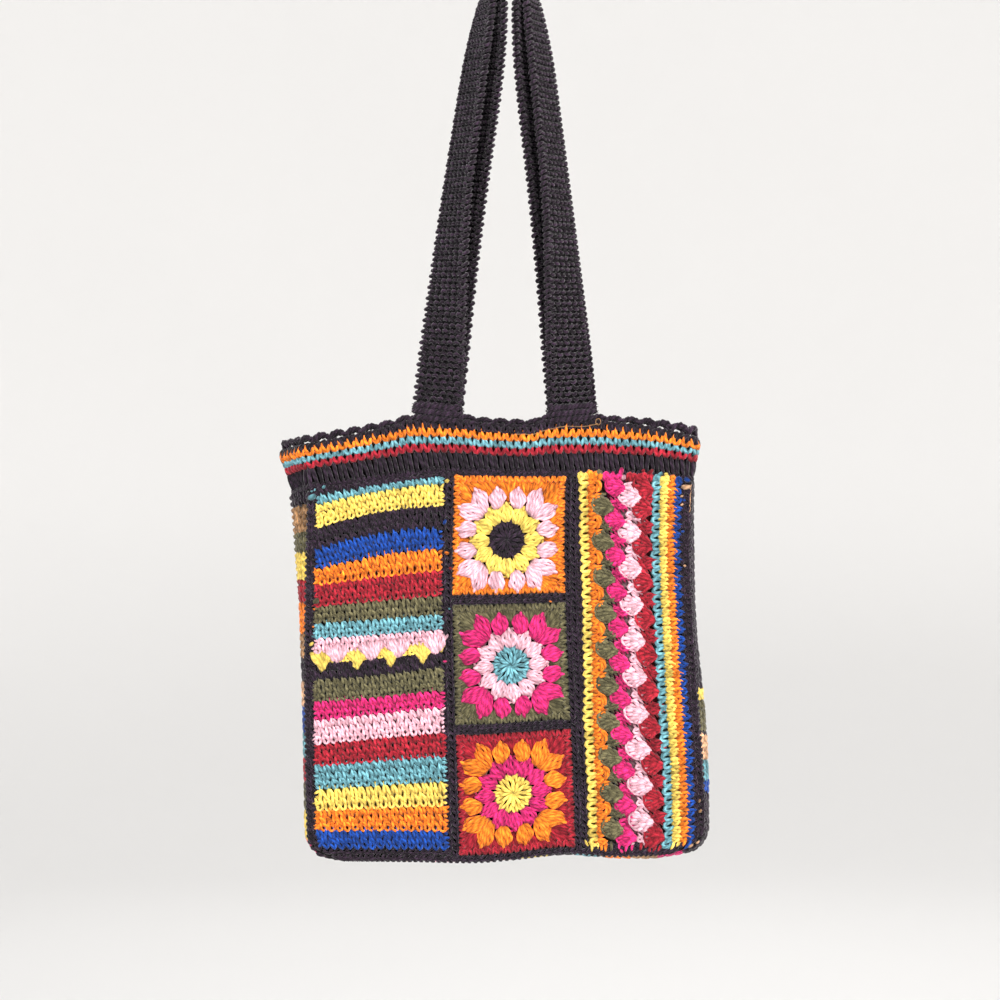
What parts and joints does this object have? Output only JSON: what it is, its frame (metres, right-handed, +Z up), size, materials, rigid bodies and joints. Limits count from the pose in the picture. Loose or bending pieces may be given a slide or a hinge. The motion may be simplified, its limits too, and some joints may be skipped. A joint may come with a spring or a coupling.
{
  "type": "crochet shoulder bag",
  "caption": "Flat crocheted shoulder bag of sewn patches, with stripes, round flowers and shell rows in black borders, hung by a pair of long flat straps.",
  "frame": {"origin": "where the straps lie on the peg: the underside of the inner strap's bend, on the bag's middle plane", "axes": "+Z up, -Y towards the front face with the flower squares, +X to the right of someone who faces the front"},
  "size_m": [0.3435, 0.0488, 0.7238],
  "materials": {
    "border_yarn": "matt crocheted yarn",
    "stripe_yarn": "matt crocheted yarn",
    "top_square_yarn": "matt crocheted yarn",
    "middle_square_yarn": "matt crocheted yarn",
    "bottom_square_yarn": "matt crocheted yarn",
    "shell_yarn": "matt crocheted yarn",
    "back_yarn": "matt crocheted yarn",
    "gusset_yarn": "matt crocheted yarn",
    "band_yarn": "matt crocheted yarn",
    "strap_yarn": "matt crocheted yarn"
  },
  "bodies": {
    "root": {"front_border": "border_yarn", "stripe_patch": "stripe_yarn", "flower_square_top": "top_square_yarn", "flower_square_middle": "middle_square_yarn", "flower_square_bottom": "bottom_square_yarn", "shell_patch": "shell_yarn", "back_border": "border_yarn", "back_patch": "back_yarn", "gusset": "gusset_yarn", "mouth_band": "band_yarn", "rim_edging": "border_yarn", "front_strap": "strap_yarn", "back_strap": "strap_yarn"}
  },
  "joints": []
}
